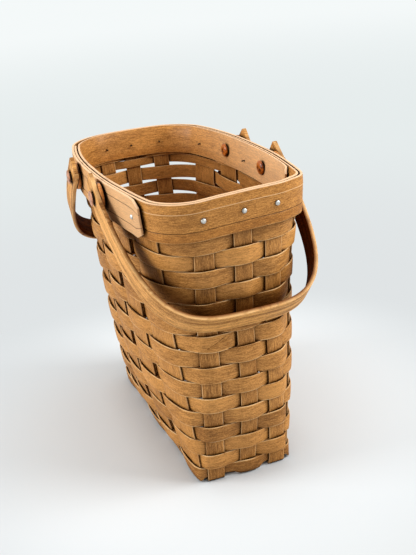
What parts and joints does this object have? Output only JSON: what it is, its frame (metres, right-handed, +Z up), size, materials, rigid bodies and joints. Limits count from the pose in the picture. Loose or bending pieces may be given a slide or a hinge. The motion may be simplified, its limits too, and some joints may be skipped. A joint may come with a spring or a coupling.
{
  "type": "splint basket",
  "caption": "Narrow woven wood splint basket with straight ends, bentwood rim bands and two bow handles that swing on wooden pegs.",
  "frame": {"origin": "middle of the woven bottom's flat underside, where the basket stands", "axes": "+X along the basket's long side towards the front end, +Y across it towards its right side, +Z up"},
  "size_m": [0.2512, 0.1449, 0.2174],
  "materials": {
    "splint_wood": "satin",
    "weaver_wood": "satin",
    "band_wood": "satin",
    "handle_wood": "satin",
    "peg_wood": "gloss",
    "tack_steel": "satin"
  },
  "bodies": {
    "basket": {"lengthwise_splint_1": "splint_wood", "lengthwise_splint_2": "splint_wood", "lengthwise_splint_3": "splint_wood", "crosswise_splint_1": "splint_wood", "crosswise_splint_2": "splint_wood", "crosswise_splint_3": "splint_wood", "crosswise_splint_4": "splint_wood", "crosswise_splint_5": "splint_wood", "weaver_01": "weaver_wood", "weaver_02": "weaver_wood", "weaver_03": "weaver_wood", "weaver_04": "weaver_wood", "weaver_05": "weaver_wood", "weaver_06": "weaver_wood", "weaver_07": "weaver_wood", "weaver_08": "weaver_wood", "weaver_09": "weaver_wood", "weaver_10": "weaver_wood", "weaver_11": "weaver_wood", "weaver_12": "weaver_wood", "weaver_13": "weaver_wood", "weaver_14": "weaver_wood", "weaver_15": "weaver_wood", "weaver_16": "weaver_wood", "weaver_17": "weaver_wood", "weaver_18": "weaver_wood", "outer_rim_band": "band_wood", "inner_rim_band": "band_wood", "front_left_peg": "peg_wood", "front_right_peg": "peg_wood", "rear_left_peg": "peg_wood", "rear_right_peg": "peg_wood", "front_left_spacer": "peg_wood", "front_right_spacer": "peg_wood", "rear_left_spacer": "peg_wood", "rear_right_spacer": "peg_wood", "front_left_peg_cap": "peg_wood", "front_right_peg_cap": "peg_wood", "rear_left_peg_cap": "peg_wood", "rear_right_peg_cap": "peg_wood", "rim_tack_01": "tack_steel", "rim_tack_02": "tack_steel", "rim_tack_03": "tack_steel", "rim_tack_04": "tack_steel", "rim_tack_05": "tack_steel", "rim_tack_06": "tack_steel", "rim_tack_07": "tack_steel", "rim_tack_08": "tack_steel", "rim_tack_09": "tack_steel", "rim_tack_10": "tack_steel", "rim_tack_11": "tack_steel", "rim_tack_12": "tack_steel"},
    "front_handle": {"front_handle": "handle_wood"},
    "rear_handle": {"rear_handle": "handle_wood"}
  },
  "joints": [
    {"name": "front_handle_swing", "type": "hinge", "parent": "basket", "child": "front_handle", "pos_m": [0.034, 0, 0.2028], "axis": [0, -1, 0], "range_deg": [0, 141]},
    {"name": "rear_handle_swing", "type": "hinge", "parent": "basket", "child": "rear_handle", "pos_m": [-0.034, 0, 0.2028], "axis": [0, 1, 0], "range_deg": [0, 141]}
  ]
}
